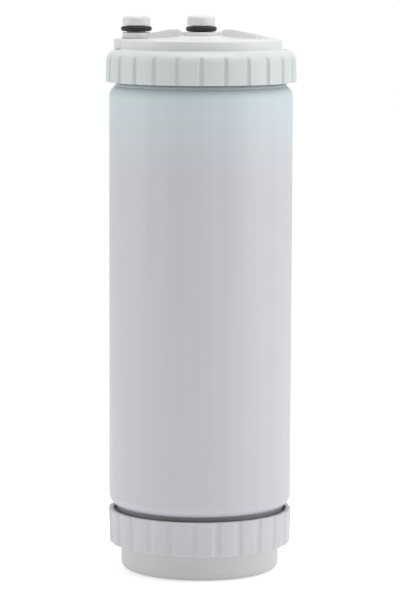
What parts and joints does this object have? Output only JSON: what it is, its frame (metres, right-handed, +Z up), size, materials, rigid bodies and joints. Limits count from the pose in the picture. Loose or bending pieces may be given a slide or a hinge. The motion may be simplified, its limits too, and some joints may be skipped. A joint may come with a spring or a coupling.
{
  "type": "two-port water filter cartridge",
  "caption": "Tall cylindrical water filter cartridge with a ribbed screw collar at each end, a lid with two push-in O-ring ports, and a foot disc.",
  "frame": {"origin": "centre of the foot's underside, where the cartridge stands", "axes": "+Z up along the canister's axis towards the ports; the inlet port stands off the axis towards -X; -Y is the front"},
  "size_m": [0.0924, 0.0923, 0.2704],
  "materials": {
    "canister_white": "blow-moulded polypropylene, satin gloss with faint vertical flow lines",
    "collar_white": "injection-moulded polypropylene, semi-gloss",
    "lid_white": "injection-moulded polypropylene, semi-gloss",
    "spigot_white": "injection-moulded, semi-gloss",
    "foot_white": "injection-moulded, satin",
    "black_rubber": "moulded nitrile rubber, slightly greased",
    "acetal": "natural acetal, satin",
    "end_cap_plastic": "moulded polypropylene, satin",
    "core_plastic": "slotted polypropylene tube, satin",
    "fleece": "melt-blown polypropylene fleece, matt",
    "moulded_carbon": "moulded activated carbon, matt and grainy",
    "net_plastic": "extruded polyethylene net"
  },
  "bodies": {
    "foot_and_element": {"bottom_cap": "foot_white", "bottom_seal": "black_rubber", "bottom_slip_ring": "acetal", "lower_end_cap": "end_cap_plastic", "upper_end_cap": "end_cap_plastic", "seat_pad": "black_rubber", "core_tube": "core_plastic", "inner_fleece": "fleece", "carbon_block": "moulded_carbon", "sediment_wrap": "fleece", "outer_net": "net_plastic", "spigot_oring_lower": "black_rubber", "spigot_oring_upper": "black_rubber"},
    "canister": {"housing_tube": "canister_white"},
    "lid": {"top_lid": "lid_white", "inlet_spigot": "spigot_white", "outlet_spigot": "spigot_white", "inlet_oring": "black_rubber", "outlet_oring": "black_rubber", "lid_seal": "black_rubber", "top_slip_ring": "acetal"},
    "upper_collar": {"top_collar": "collar_white"},
    "lower_collar": {"bottom_collar": "collar_white"}
  },
  "joints": [
    {"name": "canister_lift", "type": "slide", "parent": "foot_and_element", "child": "canister", "axis": [0, 0, 1], "range_m": [0, 0.01]},
    {"name": "lid_lift", "type": "slide", "parent": "canister", "child": "lid", "axis": [0, 0, 1], "range_m": [0, 0.01]},
    {"name": "top_collar_turn", "type": "hinge", "parent": "lid", "child": "upper_collar", "pos_m": [0, 0, 0.2465], "axis": [0, 0, 1], "range_deg": [0, 900]},
    {"name": "bottom_collar_turn", "type": "hinge", "parent": "foot_and_element", "child": "lower_collar", "pos_m": [0, 0, 0.0214], "axis": [0, 0, -1], "range_deg": [0, 900]}
  ],
  "couplings": [
    {"joint": "top_collar_turn", "follows": "lid_lift", "rad_per_m": 1570.8},
    {"joint": "bottom_collar_turn", "follows": "canister_lift", "rad_per_m": 1570.8}
  ]
}
